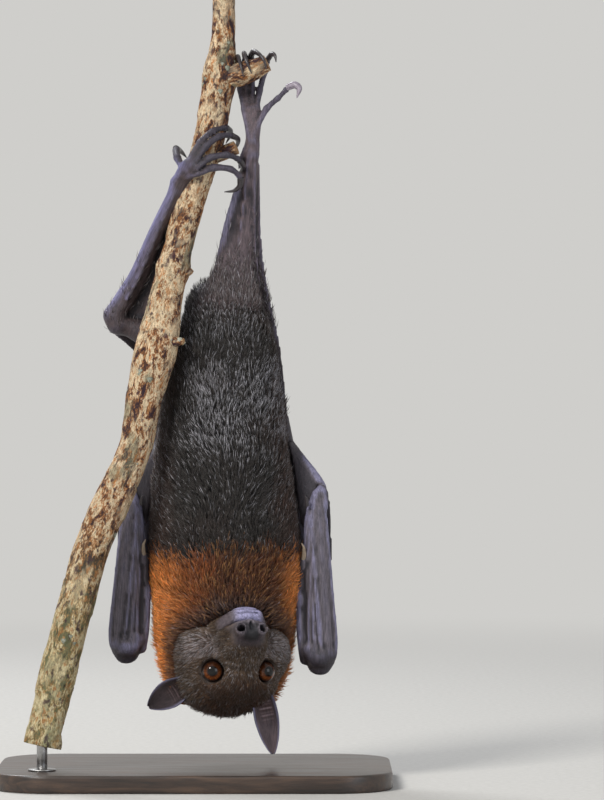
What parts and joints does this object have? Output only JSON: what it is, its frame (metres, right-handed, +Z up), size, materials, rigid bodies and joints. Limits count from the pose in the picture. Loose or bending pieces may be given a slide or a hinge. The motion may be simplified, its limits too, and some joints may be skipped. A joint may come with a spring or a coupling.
{
  "type": "fruit bat",
  "caption": "Still, life-size fruit bat hanging head down by its feet from a cut branch on a flat stand, wings folded, belly and face forward.",
  "frame": {"origin": "centre of the underside of the stand's base", "axes": "+Z up, -Y the way the belly and the face look, -X the bat's own left; the trunk's middle plane is at x = 17 mm"},
  "size_m": [0.224, 0.15, 0.4548],
  "materials": {
    "body_fur": "long near-black fur with silver-grey hair tips on the belly",
    "collar_fur": "dense russet fur, brighter orange at the sides",
    "bare_skin": "dark slate skin with a dull bluish sheen, finely wrinkled",
    "ear": "thin dark skin with a pale lilac-grey rim and cross ridges inside",
    "eye": "wet glossy red-brown iris with a dark pupil",
    "claw": "smooth dark horn, paler towards the tip",
    "bark": "mottled cream, orange-brown and purple-brown bark with worn knots",
    "stand_board": "satin black-brown painted board",
    "stand_pin": "brushed steel pin"
  },
  "bodies": {
    "root": {"belly": "body_fur", "chest": "body_fur", "claw_left_1": "claw", "claw_left_2": "claw", "claw_left_3": "claw", "claw_left_4": "claw", "claw_left_5": "claw", "claw_right_1": "claw", "claw_right_2": "claw", "claw_right_3": "claw", "claw_right_4": "claw", "claw_right_5": "claw", "ear_left": "ear", "ear_right": "ear", "eye_left": "eye", "eye_right": "eye", "foot_left": "bare_skin", "foot_right": "bare_skin", "forearm_left": "bare_skin", "forearm_right": "bare_skin", "hand_left": "bare_skin", "hand_right": "bare_skin", "hand_skin_left": "bare_skin", "hand_skin_right": "bare_skin", "head": "body_fur", "hips": "body_fur", "index_claw_left": "claw", "index_claw_right": "claw", "jaw": "body_fur", "leg_web_left": "bare_skin", "leg_web_right": "bare_skin", "muzzle": "bare_skin", "neck": "collar_fur", "perch": "bark", "shin_left": "bare_skin", "shin_right": "bare_skin", "stand_base": "stand_board", "stand_rod": "stand_pin", "thigh_left": "body_fur", "thigh_right": "body_fur", "thumb_claw_left": "claw", "thumb_claw_right": "claw", "thumb_left": "bare_skin", "thumb_right": "bare_skin", "upper_arm_left": "body_fur", "upper_arm_right": "body_fur", "wing_skin_left": "bare_skin", "wing_skin_right": "bare_skin"}
  },
  "joints": []
}
